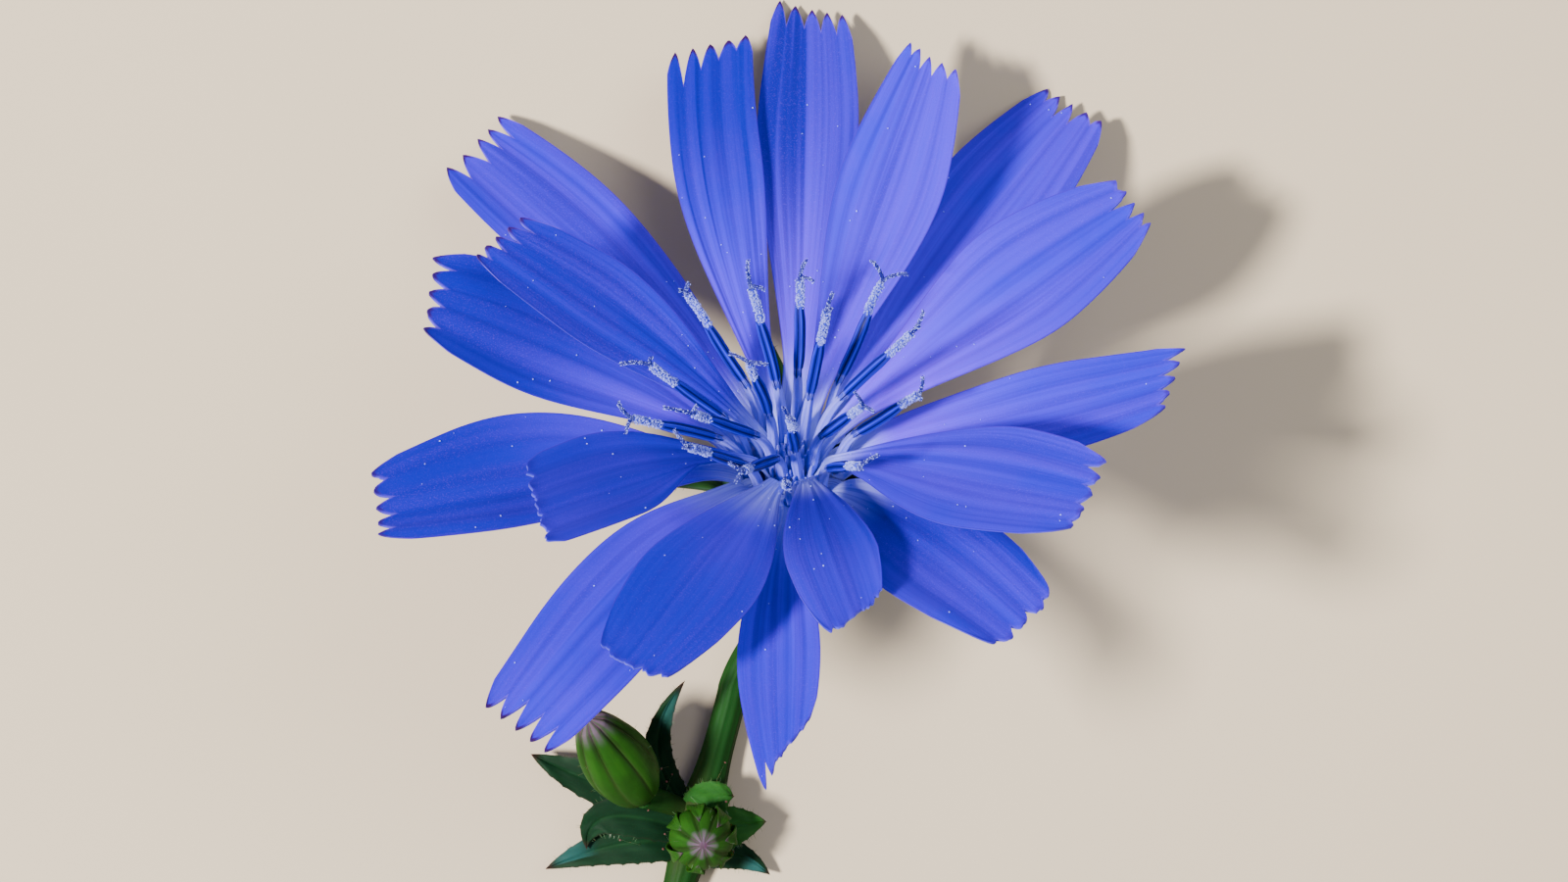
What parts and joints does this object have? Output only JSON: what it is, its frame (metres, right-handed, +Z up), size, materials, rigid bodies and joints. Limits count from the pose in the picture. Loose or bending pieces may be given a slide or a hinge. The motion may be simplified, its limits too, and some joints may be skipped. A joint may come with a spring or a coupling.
{
  "type": "chicory flower",
  "caption": "Picked wild flower lying down: thin stalk with a leafy node and closed buds, a cup of green bracts, and a spreading head of blue strap florets with toothed ends and forked styles.",
  "frame": {"origin": "on the surface that the flower lies on, at the flat spot under the leafy node of the stalk", "axes": "+Y from the cut end of the stalk towards the head, +Z up, with the open face of the head turned up and towards +Y"},
  "size_m": [0.0389, 0.0778, 0.0281],
  "materials": {
    "ray_blue": "satin petal, finely veined",
    "anther_blue": "matt, dusted with pollen",
    "stem_green": "satin, ribbed",
    "involucre_green": "satin, ribbed",
    "bud_green": "satin, ribbed"
  },
  "bodies": {
    "root": {"stem": "stem_green", "involucre": "involucre_green", "large_bud": "bud_green", "small_bud": "bud_green", "ray_floret_01": "ray_blue", "ray_floret_02": "ray_blue", "ray_floret_03": "ray_blue", "ray_floret_04": "ray_blue", "ray_floret_05": "ray_blue", "ray_floret_06": "ray_blue", "ray_floret_07": "ray_blue", "ray_floret_08": "ray_blue", "ray_floret_09": "ray_blue", "ray_floret_10": "ray_blue", "ray_floret_11": "ray_blue", "ray_floret_12": "ray_blue", "ray_floret_13": "ray_blue", "ray_floret_14": "ray_blue", "ray_floret_15": "ray_blue", "ray_floret_16": "ray_blue", "ray_floret_17": "ray_blue", "column_01": "anther_blue", "column_02": "anther_blue", "column_03": "anther_blue", "column_04": "anther_blue", "column_05": "anther_blue", "column_06": "anther_blue", "column_07": "anther_blue", "column_08": "anther_blue", "column_09": "anther_blue", "column_10": "anther_blue", "column_11": "anther_blue", "column_12": "anther_blue", "column_13": "anther_blue", "column_14": "anther_blue", "column_15": "anther_blue", "column_16": "anther_blue", "column_17": "anther_blue"}
  },
  "joints": []
}
